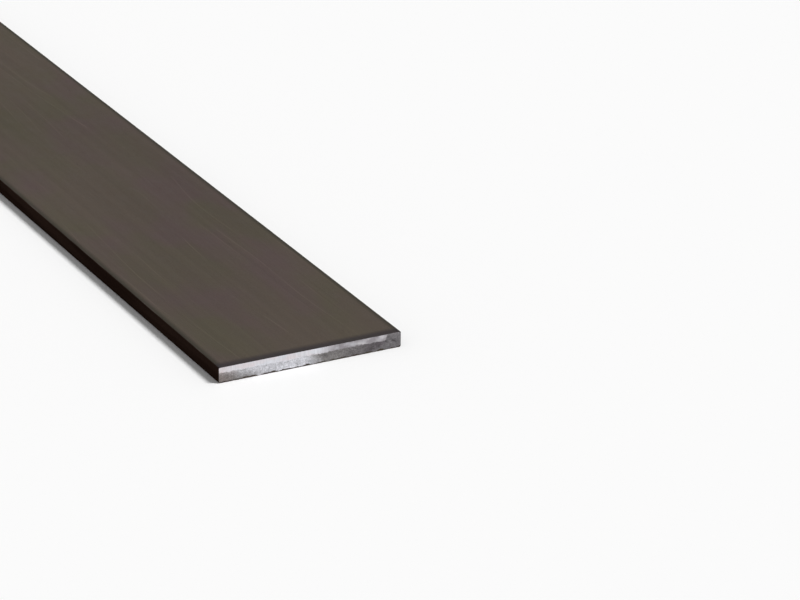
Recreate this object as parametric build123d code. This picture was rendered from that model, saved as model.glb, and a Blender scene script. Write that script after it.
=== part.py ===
from build123d import *
import os

# Hot-rolled mild steel flat bar, 70 x 6 mm, in a 1 m length cut on a guillotine shear.
#
# The frame has +X along the bar, +Y across its width and +Z up. The bar lies flat on z = 0,
# with the origin at its bottom centre. Sizes are in millimetres.

# Stock size
bar_length = 1000.0
bar_width = 70.0
bar_thickness = 6.0

# The rolls leave the four long corners a little round.
rolled_corner_radius = 0.5

# A sheared end has three zones, counted from the face that the blade entered: an edge
# drawn over by the blade, a square band wiped smooth by it, and torn metal that leans back.
drawn_edge_radius = 0.2
wiped_band_height = 2.0
torn_face_setback = 0.15


def rolled_section():
    """The bar's section: flat faces and flat narrow sides with round corners."""
    return RectangleRounded(bar_width, bar_thickness, rolled_corner_radius)


def sheared_end():
    """Side view of the +X end about the bar's middle: x along the bar, y through it."""
    end_x = bar_length / 2
    face_y = bar_thickness / 2
    band_top_y = face_y - drawn_edge_radius
    band_foot_y = band_top_y - wiped_band_height

    arc_start = (end_x - drawn_edge_radius, face_y)
    band_top = (end_x, band_top_y)
    band_foot = (end_x, band_foot_y)
    torn_foot = (end_x - torn_face_setback, -face_y)

    drawn_edge = TangentArc(arc_start, band_top, tangent=(1, 0))
    wiped_band = Line(band_top, band_foot)
    torn_face = Line(band_foot, torn_foot)
    return drawn_edge + wiped_band + torn_face


def side_view():
    """The whole bar in side view. Each cut leaves its drawn edge on the top of one piece
    and on the underside of the next, so the far end is the near one turned half round."""
    near_end = sheared_end()
    far_end = Rot(0, 0, 180) * near_end
    underside = Line(near_end @ 1, far_end @ 0)
    top = Line(far_end @ 1, near_end @ 0)
    return make_face(near_end + underside + far_end + top)


def flat_bar():
    """The rolled section run along the bar, trimmed by the side view of its two cuts."""
    rolled = extrude(Plane.YZ * rolled_section(), amount=bar_length / 2, both=True)
    cut_to_length = extrude(Plane.XZ * side_view(), amount=bar_width / 2, both=True)
    return Pos(0, 0, bar_thickness / 2) * (rolled & cut_to_length)


os.makedirs("parts", exist_ok=True)
export_step(flat_bar(), "parts/flat_bar.step")
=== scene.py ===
import math

import bpy
import numpy as np
from mathutils import Matrix, Vector, noise


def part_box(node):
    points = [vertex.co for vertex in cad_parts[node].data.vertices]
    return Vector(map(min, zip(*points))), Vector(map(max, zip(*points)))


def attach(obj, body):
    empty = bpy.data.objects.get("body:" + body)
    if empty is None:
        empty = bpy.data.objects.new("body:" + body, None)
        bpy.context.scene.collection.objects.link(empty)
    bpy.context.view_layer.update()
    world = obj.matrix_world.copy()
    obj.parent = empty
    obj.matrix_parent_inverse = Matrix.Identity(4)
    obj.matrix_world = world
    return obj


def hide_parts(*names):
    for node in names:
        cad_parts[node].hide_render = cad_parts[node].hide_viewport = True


# A hot-rolled steel flat bar, dark with mill scale, with a bright sheared end towards the camera.
# The bar is modelled in millimetres, and MM turns them into Blender's metres.

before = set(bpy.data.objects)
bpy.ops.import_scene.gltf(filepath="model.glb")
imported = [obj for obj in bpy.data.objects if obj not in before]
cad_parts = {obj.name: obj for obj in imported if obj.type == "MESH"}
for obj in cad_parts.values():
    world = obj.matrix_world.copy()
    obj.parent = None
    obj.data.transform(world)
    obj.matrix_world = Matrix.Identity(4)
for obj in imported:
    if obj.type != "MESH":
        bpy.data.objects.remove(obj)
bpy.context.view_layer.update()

MM = 0.001
NODE = "flat_bar"

# ---------------------------------------------------------------------------------------------
# Shape of the bar, in millimetres
# ---------------------------------------------------------------------------------------------

box_low, box_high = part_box(NODE)
LENGTH, WIDTH, THICKNESS = (box_high - box_low) / MM
HALF_LENGTH = LENGTH / 2
HALF_WIDTH = WIDTH / 2

# The same rounded corners and shear marks as the CAD solid has
ROLLED_CORNER = 0.5
DRAWN_EDGE = 0.2
WIPED_BAND = 2.0
TORN_SETBACK = 0.15

# Small corners that the solid leaves sharp
SIDE_EDGE = 0.2
TORN_FOOT = 0.12

# Fine relief, all of it cut inwards so that the bar stays inside its box
BAND_WANDER = 0.3
TORN_RELIEF = 0.24
WIPE_RELIEF = 0.02
FACE_WAVE = 0.05
ROLL_LINES = 0.015
SIDE_WAVE = 0.05
# How far in from a cut end its marks reach, and from a long side its waves
SHEAR_REACH = 2.5
SIDE_WAVE_REACH = 3

# Half the height over which wiped metal turns into torn, how far below the band's foot the torn
# relief starts and is there in full, and the shares that its coarse and fine hollows have in it
BAND_CHANGE = 0.5
RELIEF_STARTS = (-0.1, 0.3)
COARSE_SHARE = 0.4
FINE_SHARE = 0.3

# The shares of the drawn edge between which its scale ends, the height of the dark ragged rim at
# the foot of the cut, partly scale that the blade dragged over and partly painted shadow, and the
# share of that height where it starts to thin
DRAWN_SCALE_ENDS = (0.3, 0.8)
DRAGGED_SCALE_AND_SHADOW = 0.7
DRAGGED_THINS = 0.2

# How much the rounded corners and the dark rim at the foot of the cut vary along their edges, as
# shares of their sizes, and the shares of its height between which that rim stays
ROLLED_VARIES = 0.15
DRAWN_VARIES = 0.25
FOOT_VARIES = 0.6
DRAGGED_VARIES = 1.6
DRAGGED_RANGE = (0.15, 2)

# A feature size so large that noise stays the same in that direction
ENDLESS = 1e6
# Where in the noise each part of the shape starts
NEAR_END_SEED, FAR_END_SEED = 3.1, 11.7
TOP_SEED, UNDERSIDE_SEED = 1.3, 7.9
CORNER_SEED, SIDE_SEED = 31.0, 5.5

# Grid steps in from each edge, and the even spacing between them
LENGTH_STEPS = (0, 0.06, 0.12, 0.2, 0.3, 0.45, 0.65, 1.0, 1.6, 2.5, 4.5)
WIDTH_STEPS = (0, 0.07, 0.14, 0.24, 0.36, 0.5, 0.7)
HEIGHT_STEPS = (0, 0.05, 0.1, 0.16, 0.24, 0.34, 0.5)
LENGTH_SPACING = 15.0
WIDTH_SPACING = 0.28
HEIGHT_SPACING = 0.18

# Places across a cut end, from the bar's middle: where the warm tint of the first corner fades,
# where the torn metal turns bright and where it turns dull again, where it darkens and where it
# pales, where the wiped band weakens, and where the last corner starts, torn from top to foot
WARM_FADES = (-33, -27)
BRIGHT_STARTS = (-35, -20)
BRIGHT_ENDS = (-2, 3.5)
DULL_DARKENS = (8, 25)
DULL_PALES = (26.5, 29.5)
WEAK_STARTS = (2.5, 10.5)
CORNER_STARTS = (28.5, 30)
# The torn metal turns bright, dull and pale along slanted borders. Their places are those at
# mid-height, and these are how much further across they lie for each millimetre towards the
# face that the blade entered. The pale border slants below mid-height alone.
START_SLANT = -3.2
END_SLANT = -1.2
PALE_SLANT = 2.0
# Small spots on a cut end, painted glints in the wiped band and dark ones in the torn metal, the
# last of which is painted shade in a small hollow: each one's place across, its height above the
# middle and its strength
PAINTED_GLINTS = ((19.9, 1.5, 0.8), (28.1, 2.4, 0.9))
DARK_SPOTS = ((5.8, -0.4, 0.45), (28.8, 0.3, 0.5), (33.2, -0.1, 0.7))
# How far from its centre a spot starts to fade, and how far it reaches, across and up
SPOT_ACROSS = (0.2, 1.7)
SPOT_UP = (0.2, 1.1)


def grid_lines(low, high, steps, spacing):
    """Places from low to high, close together near both ends and evenly spaced between."""
    first, last = low + steps[-1], high - steps[-1]
    between = np.linspace(first, last, round((last - first) / spacing) + 1)
    near_low = low + np.array(steps[:-1])
    near_high = high - np.array(steps[-2::-1])
    return np.concatenate([near_low, between, near_high])


def ripple(x, y, z, sizes, seed):
    """Smooth noise from -1 to 1 at each point, with features of these sizes along X, Y and Z."""
    places = np.stack([x / sizes[0], y / sizes[1], z / sizes[2] + seed], axis=1)
    return np.array([noise.noise(place) for place in places.tolist()])


def smooth_step(value, start, end):
    """0 up to start and 1 from end, with a smooth rise between."""
    t = np.clip((value - start) / (end - start), 0, 1)
    return t * t * (3 - 2 * t)


def round_off(u, v, radius):
    """Rounds the corner between two square faces. u and v are the depths below those faces."""
    du, dv = radius - u, radius - v
    inside = (du > 0) & (dv > 0)
    span = np.hypot(du, dv)
    share = np.where(inside, np.maximum(du, dv) / np.where(span > 0, span, 1), 1)
    return (
        np.where(inside, radius - du * share, u),
        np.where(inside, radius - dv * share, v),
    )


def shear_marks(depth, fall, across, seed):
    """Cuts one sheared end: depth is measured in from the end, fall from the face that the
    blade entered. Returns the new depth, each point's share of torn metal, and how deep it lies
    in the torn relief, from 0 to 1."""
    wander = ripple(across, fall, fall, (9, ENDLESS, ENDLESS), seed)
    wander = wander + 0.5 * ripple(across, fall, fall, (1.8, ENDLESS, ENDLESS), seed + 20)
    band_foot = DRAWN_EDGE + WIPED_BAND + BAND_WANDER * wander
    band_foot = band_foot * (1 - smooth_step(across, *CORNER_STARTS))
    torn = np.clip((fall - band_foot) / (2 * BAND_CHANGE) + 0.5, 0, 1)

    lean = TORN_SETBACK * np.clip((fall - band_foot) / (THICKNESS - WIPED_BAND), 0, 1)
    coarse = ripple(across, fall, fall, (1.5, 1.9, ENDLESS), seed + 40)
    fine = ripple(across, fall, fall, (0.8, 0.6, ENDLESS), seed + 60)
    hollow = smooth_step(fall, band_foot + RELIEF_STARTS[0], band_foot + RELIEF_STARTS[1])
    hollow = hollow * (0.5 + COARSE_SHARE * coarse + FINE_SHARE * fine)
    wiping = 0.5 + 0.5 * ripple(across, fall, fall, (1.3, 14, ENDLESS), seed + 80)

    near = np.clip(1 - depth / SHEAR_REACH, 0, 1)
    cut_in = lean + TORN_RELIEF * hollow + WIPE_RELIEF * wiping
    return depth + near * cut_in, torn, np.clip(hollow, 0, 1)


def rolled_relief(x, y, seed):
    """How far a rolled face lies below flat: long gentle waves and fine lines along the bar."""
    wave = 0.5 + 0.5 * ripple(x, y, y, (130, 34, ENDLESS), seed)
    lines = 0.5 + 0.5 * ripple(x, y, y, (420, 2.6, ENDLESS), seed + 10)
    return FACE_WAVE * wave + ROLL_LINES * lines


def shape_bar(x, y, z):
    """Turns points of a square-cornered box into points of the bar, with each point's share
    of cut metal and of torn metal, and how deep it lies in the torn relief."""
    bare, torn, hollow = np.zeros_like(x), np.zeros_like(x), np.zeros_like(x)
    side = HALF_WIDTH - np.abs(y)
    hand = np.sign(y)

    # The far end is the near one turned half round about Y, so there the blade came from below.
    for end, seed in ((1, NEAR_END_SEED), (-1, FAR_END_SEED)):
        at_end = end * x > HALF_LENGTH - 2 * SHEAR_REACH
        depth = HALF_LENGTH - end * x[at_end]
        fall = THICKNESS - z[at_end] if end > 0 else z[at_end]
        beside = side[at_end]
        across = y[at_end]
        cut = (depth == 0).astype(float)

        varied = ripple(across, fall, fall, (12, ENDLESS, ENDLESS), seed + 5)
        drawn = DRAWN_EDGE * (1 + DRAWN_VARIES * varied)
        depth, fall = round_off(depth, fall, drawn)
        depth, beside = round_off(depth, beside, SIDE_EDGE)
        varied = ripple(across, fall, fall, (1.4, ENDLESS, ENDLESS), seed + 9)
        ragged = TORN_FOOT * (1 + FOOT_VARIES * varied)
        depth, rise = round_off(depth, THICKNESS - fall, ragged)
        fall = THICKNESS - rise
        depth, torn[at_end], hollow[at_end] = shear_marks(depth, fall, across, seed)

        notched = ripple(across, fall, fall, (2.6, ENDLESS, ENDLESS), seed + 15)
        dragged = DRAGGED_SCALE_AND_SHADOW * np.clip(1 + DRAGGED_VARIES * notched, *DRAGGED_RANGE)
        scale_ends = [share * DRAWN_EDGE for share in DRAWN_SCALE_ENDS]
        bare[at_end] = cut * smooth_step(fall, *scale_ends)
        # No bare metal in a ragged rim at the foot: partly dragged scale, partly painted shadow
        bare[at_end] *= smooth_step(THICKNESS - fall, DRAGGED_THINS * dragged, dragged)
        x[at_end] = end * (HALF_LENGTH - depth)
        z[at_end] = THICKNESS - fall if end > 0 else fall
        side[at_end] = beside

    varied = ripple(x, hand, z, (60, 1, ENDLESS), CORNER_SEED)
    corner = ROLLED_CORNER * (1 + ROLLED_VARIES * varied)
    side, from_top = round_off(side, THICKNESS - z, corner)
    z = THICKNESS - from_top
    side, z = round_off(side, z, corner)

    top_share = np.clip(2 * z / THICKNESS - 1, 0, 1)
    under_share = np.clip(1 - 2 * z / THICKNESS, 0, 1)
    side_share = np.clip(1 - side / SIDE_WAVE_REACH, 0, 1)
    below_top = top_share * rolled_relief(x, y, TOP_SEED)
    z = z - below_top + under_share * rolled_relief(x, y, UNDERSIDE_SEED)
    side_relief = SIDE_WAVE * (0.5 + 0.5 * ripple(x, z, hand, (45, 3, 1), SIDE_SEED))
    y = hand * (HALF_WIDTH - side - side_share * side_relief)
    return np.stack([x, y, z], axis=1), {"bare": bare, "torn": torn, "hollow": hollow}


# Baking map: each long face cut into lengths that lie one above the other, then the two ends
# beside each other in the last row. Row heights are in pixels of the map.
MAP_SIZE = 1024
LENGTHS = 2
FACE_ROW = 219
SIDE_ROW = 20
END_ROW = 48
ROW_GAP = 2

# Material numbers: the first is on the broad faces and the ends, the second on the narrow sides
FACE_STEEL, SIDE_STEEL = 0, 1


def corners_of(grid, flipped):
    """The four corners of each cell of a grid, counter-clockwise, or clockwise if flipped."""
    a, b, c, d = grid[:-1, :-1], grid[1:, :-1], grid[1:, 1:], grid[:-1, 1:]
    order = (a, d, c, b) if flipped else (a, b, c, d)
    return np.stack(order, axis=-1).reshape(-1, 4)


def placed(lines_u, lines_v, rectangle):
    """Where a grid's points lie on the baking map, in a rectangle given in pixels."""
    left, bottom, right, top = (edge / MAP_SIZE for edge in rectangle)
    u = left + (right - left) * (lines_u - lines_u[0]) / np.ptp(lines_u)
    v = bottom + (top - bottom) * (lines_v - lines_v[0]) / np.ptp(lines_v)
    return np.meshgrid(u, v, indexing="ij")


def bar_sheets(ids, xs, ys, zs):
    """The bar's skin as flat sheets of points, each with its place on the baking map, whether
    its cells are flipped, and the number of its material."""
    row_bottom = ROW_GAP
    full_row = (ROW_GAP, MAP_SIZE - ROW_GAP)
    middle = MAP_SIZE / 2
    long_faces = (
        (ids[:, :, -1], ys, FACE_ROW, False, FACE_STEEL),
        (ids[:, :, 0], ys, FACE_ROW, True, FACE_STEEL),
        (ids[:, 0, :], zs, SIDE_ROW, False, SIDE_STEEL),
        (ids[:, -1, :], zs, SIDE_ROW, True, SIDE_STEEL),
    )
    for sheet, lines, height, flipped, steel in long_faces:
        for cells in np.array_split(np.arange(len(xs) - 1), LENGTHS):
            span = slice(cells[0], cells[-1] + 2)
            rectangle = (full_row[0], row_bottom, full_row[1], row_bottom + height)
            yield sheet[span], placed(xs[span], lines, rectangle), flipped, steel
            row_bottom += height + ROW_GAP
    left = (full_row[0], row_bottom, middle - ROW_GAP, row_bottom + END_ROW)
    right = (middle + ROW_GAP, row_bottom, full_row[1], row_bottom + END_ROW)
    yield ids[-1], placed(ys, zs, left), False, FACE_STEEL
    yield ids[0], placed(ys, zs, right), True, FACE_STEEL


def build_bar():
    """One closed mesh: a grid over the six faces of a box, bent into the bar's shape."""
    xs = grid_lines(-HALF_LENGTH, HALF_LENGTH, LENGTH_STEPS, LENGTH_SPACING)
    ys = grid_lines(-HALF_WIDTH, HALF_WIDTH, WIDTH_STEPS, WIDTH_SPACING)
    zs = grid_lines(0, THICKNESS, HEIGHT_STEPS, HEIGHT_SPACING)

    on_skin = np.ones((len(xs), len(ys), len(zs)), bool)
    on_skin[1:-1, 1:-1, 1:-1] = False
    ids = np.full(on_skin.shape, -1)
    ids[on_skin] = np.arange(on_skin.sum())
    box_points = [axis[on_skin] for axis in np.meshgrid(xs, ys, zs, indexing="ij")]
    points, shares = shape_bar(*box_points)

    faces, places, steels = [], [], []
    for sheet, (u, v), flipped, steel in bar_sheets(ids, xs, ys, zs):
        faces.append(corners_of(sheet, flipped))
        places.append(np.stack([corners_of(u, flipped), corners_of(v, flipped)], axis=-1))
        steels.append(np.full(len(faces[-1]), steel))

    mesh = bpy.data.meshes.new("rolled_bar")
    mesh.from_pydata((points * MM).tolist(), [], np.concatenate(faces).tolist())
    mesh.polygons.foreach_set("use_smooth", np.ones(len(mesh.polygons), bool))
    mesh.polygons.foreach_set("material_index", np.concatenate(steels))
    mesh.uv_layers.new(name="OFBake").uv.foreach_set("vector", np.concatenate(places).ravel())
    for name, values in shares.items():
        mesh.attributes.new(name, "FLOAT", "POINT").data.foreach_set("value", values)
    mesh.update()

    bar = bpy.data.objects.new("rolled_bar", mesh)
    bpy.context.scene.collection.objects.link(bar)
    return bar


# ---------------------------------------------------------------------------------------------
# Materials
# ---------------------------------------------------------------------------------------------


def srgb(red, green, blue):
    """A colour as a screen shows it, from 0 to 255, as the linear colour that shaders take."""
    shown = [channel / 255 for channel in (red, green, blue)]
    linear = [c / 12.92 if c <= 0.04045 else ((c + 0.055) / 1.055) ** 2.4 for c in shown]
    return (*linear, 1)


WHITE = (1, 1, 1, 1)

# Mill scale: its tints, painted shade along the long edges, darker scale that is partly painted
# shade along the top edge of each cut end, where it is worn, and the narrow sides, whose darker
# colour is partly painted shade
SCALE_BROWN = srgb(82, 73, 65)
SCALE_OLIVE = srgb(80, 74, 62)
SCALE_PURPLE = srgb(83, 71, 68)
LONG_EDGE_SHADE = srgb(54, 51, 43)
# Darker scale by each cut end: partly drawn over by the blade, partly painted shade
DRAWN_SCALE_AND_SHADE = srgb(50, 46, 49)
WORN_SCALE = srgb(104, 97, 90)
# The narrow sides' colours: partly darker scale, partly painted shade
SIDE_SCALE_AND_SHADE = srgb(52, 38, 32)
SIDE_DARK_AND_SHADE = srgb(42, 29, 24)

# Cut steel: wiped by the blade, and torn
WIPED_COOL = srgb(219, 220, 226)
WIPED_WARM = srgb(221, 214, 218)
WIPED_WEAK = srgb(151, 146, 150)
GLINT_COLOUR = srgb(203, 200, 203)
TORN_BRIGHT = srgb(210, 210, 215)
DULL_STEEL = srgb(140, 137, 136)
DULL_DARK = srgb(100, 94, 98)
DULL_PALE = srgb(129, 126, 128)
DARK_SPOT_STEEL = srgb(60, 56, 58)
# A faint warm tint that all cut metal has in the first corner
WARM_TINT = srgb(253, 244, 241)

# How far in from a long side, and on an entered face from its end, the painted shade, by the end
# also drawn scale, starts to fade and has faded, the same for the worn corners, and the strength
# of all three there
SIDE_LINE = (0.9, 2.4)
DRAWN_LINE = (2.0, 4.6)
WORN_EDGE = (0.1, 0.5)
EDGE_FADES = (0.8, 0)
# About how far apart the hairlines along the bar are. In shares of that, how far each one bends
# to either side, and how far from its middle it starts to fade and ends.
HAIRLINE_SPACING = 6
HAIRLINE_BENDS = (-1, 1)
HAIRLINE_FADES = (0.006, 0.023)
# The share that narrow streaks have beside broad ones
NARROW_STREAKS = 0.35

# A noise has values from 0 to 1, most of them about the middle. What follows it goes through
# the whole of its own range between one of these pairs of values.
ALL_NOISE = (0.2, 0.8)
MOST_NOISE = (0.3, 0.7)
MUCH_NOISE = (0.35, 0.65)
MIDDLE_NOISE = (0.4, 0.6)
# The same for how deep a point lies in the torn relief, which is also from 0 to 1
MOST_HOLLOW = (0.2, 0.8)
# Values of their noise between which these set in
OLIVE_SETS_IN = (0.42, 0.62)
PURPLE_SETS_IN = (0.5, 0.68)
PITS_SET_IN = (0.7, 0.77)
HAIRLINES_SET_IN = (0.5, 0.6)
WEAR_SETS_IN = (0.48, 0.62)
WEAK_PATCHES = (0.35, 0.6)

# Factors for a colour, from the least to the most of what shades it
STREAK_SHADES = (0.94, 1.06)
GRAIN_SHADES = (0.84, 1.18)
PIT_SHADES = (1.0, 0.72)
HAIRLINE_SHADES = (1.0, 1.36)
CLOUD_SHADES = (0.96, 1.04)
STROKE_SHADES = (0.9, 1.08)
LINE_SHADES = (0.93, 1.06)
PATCH_SHADES = (1.07, 0.92)
# These two paint shade into the torn relief's hollows and the low parts of its grain
HOLLOW_PAINTED_SHADE = (1.12, 0.84)
TORN_GRAIN_PAINTED_SHADE = (1.22, 0.74)

# How rough each surface is, and how much sheen the scale has
SCALE_ROUGHNESS = (0.46, 0.6)
SIDE_ROUGHNESS = (0.72, 0.85)
WIPED_ROUGHNESS = (0.26, 0.42)
TORN_ROUGHNESS = (0.48, 0.62)
FLOOR_ROUGHNESS = 0.9
SCALE_SHEEN = 0.06
NO_SHEEN = 0.0

# Relief too fine for the mesh, in millimetres
STREAK_RELIEF = (0, 0.03)
GRAIN_RELIEF = (0, 0.03)
PIT_DEPTH = 0.04
HAIRLINE_DEPTH = 0.01
STROKE_RELIEF = (0, 0.015)
TORN_GRAIN_RELIEF = (0.12, 0)

# How far the place across wobbles on a cut end, in millimetres
WOBBLE = (-1.5, 1.5)
# How weak the band is, from patch to patch, where it has weakened
WEAK_STRENGTH = (0.6, 1)
# What is added to the shares of torn and of bare metal to make their borders ragged, and the
# shares between which each border then lies
TORN_RAGGED = (-0.35, 0.35)
BARE_RAGGED = (-0.3, 0.3)
TORN_BORDER = (0.3, 0.7)
BARE_BORDER = (0.4, 0.6)


class Look:
    """Short ways to add and join the nodes of one material."""

    def __init__(self, name):
        self.material = bpy.data.materials.new(name)
        self.material.use_nodes = True
        self.tree = self.material.node_tree
        self.shader = self.tree.nodes["Principled BSDF"]

    def node(self, kind, sockets=None, **settings):
        made = self.tree.nodes.new(kind)
        for name, value in settings.items():
            setattr(made, name, value)
        for name, value in (sockets or {}).items():
            self.feed(made.inputs[name], value)
        return made

    def feed(self, socket, value):
        if isinstance(value, bpy.types.NodeSocket):
            self.tree.links.new(value, socket)
        else:
            socket.default_value = value[:3] if socket.type == "VECTOR" else value

    def millimetres(self):
        """The place on the object, in millimetres."""
        place = self.node("ShaderNodeTexCoord").outputs["Object"]
        return self.scaled(place, 1 / MM)

    def attribute(self, name):
        return self.node("ShaderNodeAttribute", attribute_name=name).outputs["Fac"]

    def noise(self, place, sizes, detail=2.0, roughness=0.5, shift=0.0):
        """Noise from 0 to 1 with features of these sizes, in millimetres, along X, Y and Z."""
        per_size = tuple(1 / size for size in sizes)
        sockets = {0: place, 1: per_size, 2: (shift, shift, shift)}
        shifted = self.node("ShaderNodeVectorMath", sockets, operation="MULTIPLY_ADD")
        sockets = {
            "Vector": shifted.outputs["Vector"],
            "Scale": 1.0,
            "Detail": detail,
            "Roughness": roughness,
        }
        return self.node("ShaderNodeTexNoise", sockets).outputs["Fac"]

    def from_borders(self, number):
        """How far a number is from the borders between random intervals about 1 long."""
        made = self.node(
            "ShaderNodeTexVoronoi",
            {"W": number, "Scale": 1.0},
            voronoi_dimensions="1D",
            feature="DISTANCE_TO_EDGE",
        )
        return made.outputs["Distance"]

    def math(self, operation, *values):
        sockets = dict(enumerate(values))
        return self.node("ShaderNodeMath", sockets, operation=operation).outputs["Value"]

    def parts(self, place):
        """The X, Y and Z of a place."""
        return self.node("ShaderNodeSeparateXYZ", {0: place}).outputs[:]

    def scaled(self, colour, shade):
        """A colour made darker or lighter by a factor."""
        made = self.node("ShaderNodeVectorMath", {0: colour, "Scale": shade}, operation="SCALE")
        return made.outputs["Vector"]

    def tinted(self, colour, tint):
        """A colour multiplied by another."""
        made = self.node("ShaderNodeVectorMath", {0: colour, 1: tint}, operation="MULTIPLY")
        return made.outputs["Vector"]

    def fit(self, value, from_range, to_range=(0.0, 1.0)):
        """A value carried over from one range to another, and held at the ends of that one."""
        sockets = {
            "Value": value,
            "From Min": from_range[0],
            "From Max": from_range[1],
            "To Min": to_range[0],
            "To Max": to_range[1],
        }
        return self.node("ShaderNodeMapRange", sockets, clamp=True).outputs["Result"]

    def shaded(self, colour, value, from_range, shades):
        """A colour made darker or lighter as a value goes through a range."""
        return self.scaled(colour, self.fit(value, from_range, shades))

    def mix(self, share, first, second):
        """A number between two numbers."""
        sockets = {"Factor": share, "A": first, "B": second}
        return self.node("ShaderNodeMix", sockets, data_type="FLOAT").outputs["Result"]

    def blend(self, share, first, second):
        """A colour between two colours."""
        made = self.node("ShaderNodeMix", data_type="RGBA")
        self.feed(made.inputs["Factor"], share)
        self.feed(made.inputs[6], first)
        self.feed(made.inputs[7], second)
        return made.outputs[2]

    def layer(self, share, under, over):
        """A surface between two surfaces, each a colour, a roughness and a relief."""
        colour = self.blend(share, under[0], over[0])
        roughness = self.mix(share, under[1], over[1])
        return colour, roughness, self.mix(share, under[2], over[2])

    def finish(self, colour, roughness, relief):
        """Joins a surface to the shader. Its relief is in millimetres."""
        self.feed(self.shader.inputs["Base Color"], colour)
        self.feed(self.shader.inputs["Roughness"], roughness)
        bump = self.node("ShaderNodeBump", {"Height": relief, "Distance": MM, "Strength": 1.0})
        self.feed(self.shader.inputs["Normal"], bump.outputs["Normal"])


def rolled_texture(look, place, colour):
    """What rolling leaves in scale of any colour: streaks along the bar, a fine grain, small
    dark pits and pale broken hairlines. Returns the colour with these, and their relief."""
    broad = look.noise(place, (260, 2.6, 2.6), detail=3, roughness=0.6)
    narrow = look.noise(place, (70, 0.5, 0.5), shift=60)
    streaks = look.mix(NARROW_STREAKS, broad, narrow)
    grain = look.noise(place, (0.4, 0.3, 0.3), detail=3, roughness=0.6)
    pits = look.fit(look.noise(place, (2.4, 0.7, 0.7), shift=70), PITS_SET_IN)

    _, y, z = look.parts(place)
    around = look.math("MULTIPLY", look.math("ADD", y, z), 1 / HAIRLINE_SPACING)
    bends = look.noise(place, (160, 45, 45), detail=1, shift=90)
    bent = look.math("ADD", around, look.fit(bends, MOST_NOISE, HAIRLINE_BENDS))
    from_line = look.from_borders(bent)
    unbroken = look.fit(look.noise(place, (50, 8, 8), detail=1, shift=95), HAIRLINES_SET_IN)
    hairlines = look.math("MULTIPLY", look.fit(from_line, HAIRLINE_FADES, (1, 0)), unbroken)

    colour = look.shaded(colour, streaks, MUCH_NOISE, STREAK_SHADES)
    colour = look.shaded(colour, grain, MOST_NOISE, GRAIN_SHADES)
    colour = look.scaled(colour, look.mix(pits, *PIT_SHADES))
    colour = look.scaled(colour, look.mix(hairlines, *HAIRLINE_SHADES))

    streak_relief = look.fit(streaks, ALL_NOISE, STREAK_RELIEF)
    relief = look.math("ADD", streak_relief, look.fit(grain, ALL_NOISE, GRAIN_RELIEF))
    pits_cut_in = look.math("MULTIPLY", pits, PIT_DEPTH)
    cut_in = look.math("ADD", pits_cut_in, look.math("MULTIPLY", hairlines, HAIRLINE_DEPTH))
    return colour, look.math("SUBTRACT", relief, cut_in)


def scale_edge_shade_and_wear(look, place, colour):
    """Paints shade on the scale along the long edges, and along the top edge of each cut end,
    where the blade also drew the scale over. The long corners themselves are worn paler here and
    there."""
    x, y, z = look.parts(place)
    from_side = look.math("SUBTRACT", HALF_WIDTH, look.math("ABSOLUTE", y))
    # Painted shade along the long edges
    colour = look.blend(look.fit(from_side, SIDE_LINE, EDGE_FADES), colour, LONG_EDGE_SHADE)

    rubbed = look.fit(look.noise(place, (25, 7, 3), shift=80), WEAR_SETS_IN)
    worn = look.math("MULTIPLY", look.fit(from_side, WORN_EDGE, EDGE_FADES), rubbed)
    colour = look.blend(worn, colour, WORN_SCALE)

    # Along the top edge of each cut end: partly drawn scale, partly painted shade
    from_end = look.math("SUBTRACT", HALF_LENGTH, look.math("ABSOLUTE", x))
    above_middle = look.math("SUBTRACT", z, THICKNESS / 2)
    entered = look.math("GREATER_THAN", look.math("MULTIPLY", x, above_middle), 0)
    drawn = look.math("MULTIPLY", look.fit(from_end, DRAWN_LINE, EDGE_FADES), entered)
    return look.blend(drawn, colour, DRAWN_SCALE_AND_SHADE)


def mill_scale(look, place):
    """Matte oxide from hot rolling, in broad soft tints and clouds."""
    tint = look.noise(place, (70, 28, 28))
    other_tint = look.noise(place, (45, 22, 22), shift=40)
    broad = look.noise(place, (110, 60, 60), detail=1, shift=30)
    clouds = look.noise(place, (9, 5, 5), detail=3, roughness=0.55, shift=20)

    colour = look.blend(look.fit(tint, OLIVE_SETS_IN), SCALE_BROWN, SCALE_OLIVE)
    colour = look.blend(look.fit(other_tint, PURPLE_SETS_IN), colour, SCALE_PURPLE)
    colour = look.shaded(colour, broad, MUCH_NOISE, CLOUD_SHADES)
    colour = look.shaded(colour, clouds, MOST_NOISE, CLOUD_SHADES)
    colour, relief = rolled_texture(look, place, colour)
    roughness = look.mix(look.fit(clouds, MOST_NOISE), *SCALE_ROUGHNESS)
    return scale_edge_shade_and_wear(look, place, colour), roughness, relief


def cut_place(look, place):
    """Where a point lies on a cut end: across the bar, and above mid-height, which is turned
    round at the far end, because there the blade came from below. The place across wobbles a
    little, so that nothing on the cut starts along a straight line."""
    x, y, z = look.parts(place)
    wobble = look.fit(look.noise(place, (7, 7, 3), shift=12), MOST_NOISE, WOBBLE)
    above_middle = look.math("SUBTRACT", z, THICKNESS / 2)
    height = look.math("MULTIPLY", above_middle, look.math("SIGN", x))
    return look.math("ADD", y, wobble), height


def slanted(look, across, height, slant):
    """The place across where a slanted border through a point meets mid-height."""
    return look.math("MULTIPLY_ADD", height, -slant, across)


def with_spots(look, across, height, spots, colour, spot_colour):
    """A cut end's colour with soft spots of another colour."""
    for centre_across, centre_height, strength in spots:
        beside = look.math("ABSOLUTE", look.math("SUBTRACT", across, centre_across))
        above = look.math("ABSOLUTE", look.math("SUBTRACT", height, centre_height))
        fading = look.fit(beside, SPOT_ACROSS, (strength, 0))
        share = look.math("MULTIPLY", fading, look.fit(above, SPOT_UP, (1, 0)))
        colour = look.blend(share, colour, spot_colour)
    return colour


def cut_patches(look, place):
    """Noise in patches of a few millimetres, the same for wiped and for torn metal."""
    return look.noise(place, (4, 3.6, 2.2), shift=33)


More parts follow.
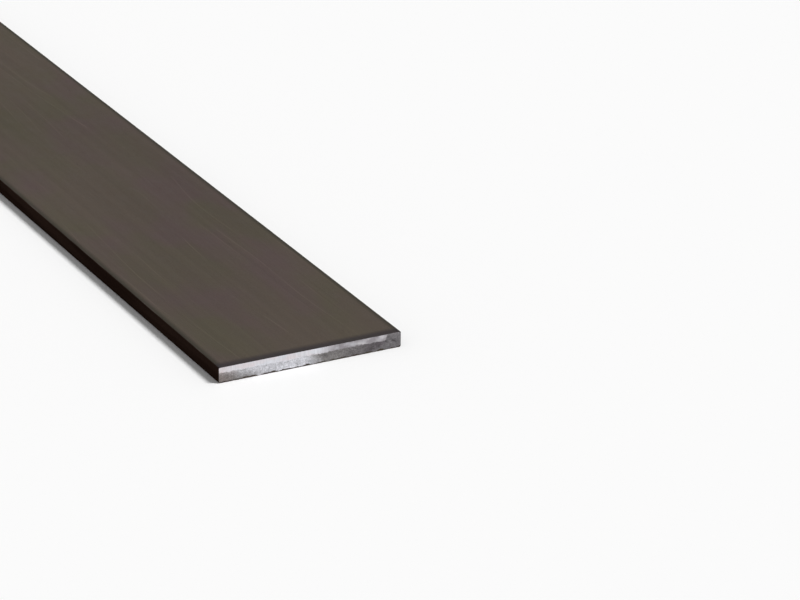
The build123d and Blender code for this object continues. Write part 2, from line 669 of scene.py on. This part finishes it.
def wiped_steel(look, place, across, height):
    """The band that the blade wiped smooth, with upright strokes. It weakens towards one side,
    where small painted glints lie on it."""
    tone = look.noise(place, (6, 6, 3), shift=15)
    patches = cut_patches(look, place)
    strokes = look.noise(place, (1.5, 0.4, 7), detail=3, roughness=0.6)
    lines = look.noise(place, (1.5, 0.12, 5), detail=1, shift=18)

    colour = look.blend(look.fit(tone, MIDDLE_NOISE), WIPED_COOL, WIPED_WARM)
    patchy = look.fit(patches, WEAK_PATCHES, WEAK_STRENGTH)
    weak = look.math("MULTIPLY", look.fit(across, WEAK_STARTS), patchy)
    colour = look.blend(weak, colour, WIPED_WEAK)
    # Painted glints on the wiped band
    colour = with_spots(look, across, height, PAINTED_GLINTS, colour, GLINT_COLOUR)
    colour = look.shaded(colour, strokes, MOST_NOISE, STROKE_SHADES)
    colour = look.shaded(colour, lines, MOST_NOISE, LINE_SHADES)

    roughness = look.fit(strokes, MOST_NOISE, WIPED_ROUGHNESS)
    return colour, roughness, look.fit(strokes, ALL_NOISE, STROKE_RELIEF)


def torn_steel(look, place, across, height):
    """Metal torn apart below the wiped band: bright over one half of the width, dull over the
    other, and paler in the last corner. Its hollows and the low parts of its grain are darker
    than its ridges, as painted shade, and a few small places are darker still, one of them as
    painted shade in a small hollow."""
    grains = look.noise(place, (0.5, 0.6, 0.45), detail=4, roughness=0.65)
    patches = cut_patches(look, place)
    hollow = look.attribute("hollow")

    colour = look.blend(look.fit(across, DULL_DARKENS), DULL_STEEL, DULL_DARK)
    started = look.fit(slanted(look, across, height, START_SLANT), BRIGHT_STARTS)
    unended = look.fit(slanted(look, across, height, END_SLANT), BRIGHT_ENDS, (1, 0))
    colour = look.blend(look.math("MULTIPLY", started, unended), colour, TORN_BRIGHT)
    below_middle = look.math("MINIMUM", height, 0)
    pale = look.fit(slanted(look, across, below_middle, PALE_SLANT), DULL_PALES)
    colour = look.blend(pale, colour, DULL_PALE)
    # Darker spots, the last of them painted shade in a small hollow
    colour = with_spots(look, across, height, DARK_SPOTS, colour, DARK_SPOT_STEEL)
    colour = look.shaded(colour, patches, MOST_NOISE, PATCH_SHADES)
    # Painted shade: darker in the hollows of the torn relief and in the low parts of its grain
    colour = look.shaded(colour, hollow, MOST_HOLLOW, HOLLOW_PAINTED_SHADE)
    colour = look.shaded(colour, grains, MOST_NOISE, TORN_GRAIN_PAINTED_SHADE)

    roughness = look.fit(grains, MOST_NOISE, TORN_ROUGHNESS)
    return colour, roughness, look.fit(grains, ALL_NOISE, TORN_GRAIN_RELIEF)


def sheared_steel(look, place):
    """Cut metal, wiped smooth above and torn below, with a ragged change between the two."""
    across, height = cut_place(look, place)
    ragged = look.noise(place, (1.2, 0.9, 0.6), detail=3, shift=50)
    torn = look.math("ADD", look.attribute("torn"), look.fit(ragged, MOST_NOISE, TORN_RAGGED))
    wiped = wiped_steel(look, place, across, height)
    torn_apart = torn_steel(look, place, across, height)
    colour, roughness, relief = look.layer(look.fit(torn, TORN_BORDER), wiped, torn_apart)
    tint = look.blend(look.fit(across, WARM_FADES, (1, 0)), WHITE, WARM_TINT)
    return look.tinted(colour, tint), roughness, relief


def bar_steel():
    """Mill scale over the broad faces, and cut steel where the bar was sheared."""
    look = Look("hot_rolled_steel")
    place = look.millimetres()
    ragged = look.noise(place, (0.7, 0.5, 0.4), detail=3)
    frayed = look.math("ADD", look.attribute("bare"), look.fit(ragged, MOST_NOISE, BARE_RAGGED))
    bare = look.fit(frayed, BARE_BORDER)
    look.feed(look.shader.inputs["Metallic"], bare)
    look.shader.inputs["Specular IOR Level"].default_value = SCALE_SHEEN
    look.finish(*look.layer(bare, mill_scale(look, place), sheared_steel(look, place)))
    return look.material


def side_steel_and_shade():
    """Scale on the narrow rolled sides, which has no sheen. Its darker colour is partly thicker
    scale and partly painted shade, for sides that face away from the light.
    """
    look = Look("rolled_side_and_shade")
    place = look.millimetres()
    tint = look.noise(place, (60, 20, 3), detail=3)
    colour = look.blend(look.fit(tint, MIDDLE_NOISE), SIDE_SCALE_AND_SHADE, SIDE_DARK_AND_SHADE)
    colour, relief = rolled_texture(look, place, colour)
    look.shader.inputs["Specular IOR Level"].default_value = NO_SHEEN
    look.finish(colour, look.fit(tint, MOST_NOISE, SIDE_ROUGHNESS), relief)
    return look.material


# ---------------------------------------------------------------------------------------------
# Studio
# ---------------------------------------------------------------------------------------------

# Camera: a long lens, level across the picture. The bar runs away to the left of the view. The
# lens and the sensor are in millimetres.
LENS = 180
SENSOR = 36
VIEW_PITCH = math.radians(22.81)
VIEW_YAW = math.radians(27.03)
# Where the bar's near left top corner lies from the camera, in metres: right, down, ahead
CORNER_IN_VIEW = (-0.0619, 0.0232, 1.366)

FLOOR_SIZE = 24
FLOOR_GREY = (0.3, 0.3, 0.3, 1)
KEY_TOWARDS = (0.35, 0.45, 0.82)
KEY_STRENGTH = 2.48
KEY_SOFTNESS = math.radians(18)
SKY_STRENGTH = 0.3
HORIZON_STRENGTH = 0.965
# Sines of the heights between which the sky goes from the horizon's strength to its own
HORIZON_BAND = (0.08, 0.22)


def add_camera():
    """Places the camera by the view of the bar's near left top corner."""
    level_ahead = Vector((-math.cos(VIEW_YAW), math.sin(VIEW_YAW), 0))
    right = Vector((math.sin(VIEW_YAW), math.cos(VIEW_YAW), 0))
    down_axis = Vector((0, 0, -1))
    ahead = math.sin(VIEW_PITCH) * down_axis + math.cos(VIEW_PITCH) * level_ahead
    down = math.cos(VIEW_PITCH) * down_axis - math.sin(VIEW_PITCH) * level_ahead
    corner = Vector((box_high.x, box_low.y, box_high.z))
    shifts = zip(CORNER_IN_VIEW, (right, down, ahead))
    place = corner - sum((amount * axis for amount, axis in shifts), Vector())

    data = bpy.data.cameras.new("camera")
    data.lens, data.sensor_width = LENS, SENSOR
    camera = bpy.data.objects.new("camera", data)
    turned = Matrix((right, -down, -ahead)).transposed().to_4x4()
    camera.matrix_world = Matrix.Translation(place) @ turned
    bpy.context.scene.collection.objects.link(camera)
    bpy.context.scene.camera = camera


def add_floor():
    """A plain floor, which keeps the bar's shadow. It is white where it is seen, by itself or
    in the metal, and grey in the light that it throws back."""
    mesh = bpy.data.meshes.new("floor")
    half = FLOOR_SIZE / 2
    edges = [(-half, -half, 0), (half, -half, 0), (half, half, 0), (-half, half, 0)]
    mesh.from_pydata(edges, [], [(0, 1, 2, 3)])
    floor = bpy.data.objects.new("floor", mesh)
    bpy.context.scene.collection.objects.link(floor)

    look = Look("floor_white")
    ray = look.node("ShaderNodeLightPath").outputs
    seen = look.math("MAXIMUM", ray["Is Camera Ray"], ray["Is Glossy Ray"])
    seen = look.math("MAXIMUM", seen, ray["Is Transmission Ray"])
    look.feed(look.shader.inputs["Base Color"], look.blend(seen, FLOOR_GREY, WHITE))
    look.shader.inputs["Roughness"].default_value = FLOOR_ROUGHNESS
    look.shader.inputs["Specular IOR Level"].default_value = NO_SHEEN
    mesh.materials.append(look.material)


def add_key():
    """One soft key light from the right, in front and above."""
    data = bpy.data.lights.new("key", "SUN")
    data.energy, data.angle = KEY_STRENGTH, KEY_SOFTNESS
    key = bpy.data.objects.new("key", data)
    key.rotation_mode = "QUATERNION"
    key.rotation_quaternion = Vector(KEY_TOWARDS).to_track_quat("Z", "Y")
    bpy.context.scene.collection.objects.link(key)


def add_sky():
    """A pale sky, even overhead and white along the horizon."""
    world = bpy.data.worlds.new("sky")
    world.use_nodes = True
    nodes, links = world.node_tree.nodes, world.node_tree.links
    direction = nodes.new("ShaderNodeTexCoord").outputs["Generated"]
    height = nodes.new("ShaderNodeSeparateXYZ")
    links.new(direction, height.inputs[0])
    strength = nodes.new("ShaderNodeMapRange")
    settings = (*HORIZON_BAND, HORIZON_STRENGTH, SKY_STRENGTH)
    for name, value in zip(("From Min", "From Max", "To Min", "To Max"), settings):
        strength.inputs[name].default_value = value
    links.new(height.outputs["Z"], strength.inputs["Value"])
    background = nodes["Background"]
    background.inputs["Color"].default_value = WHITE
    links.new(strength.outputs["Result"], background.inputs["Strength"])
    bpy.context.scene.world = world


# ---------------------------------------------------------------------------------------------
# The scene
# ---------------------------------------------------------------------------------------------

bar = build_bar()
bar.data.materials.append(bar_steel())
bar.data.materials.append(side_steel_and_shade())
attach(bar, "root")
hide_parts(NODE)

add_floor()
add_key()
add_sky()
add_camera()
bpy.context.scene.view_settings.view_transform = "Standard"
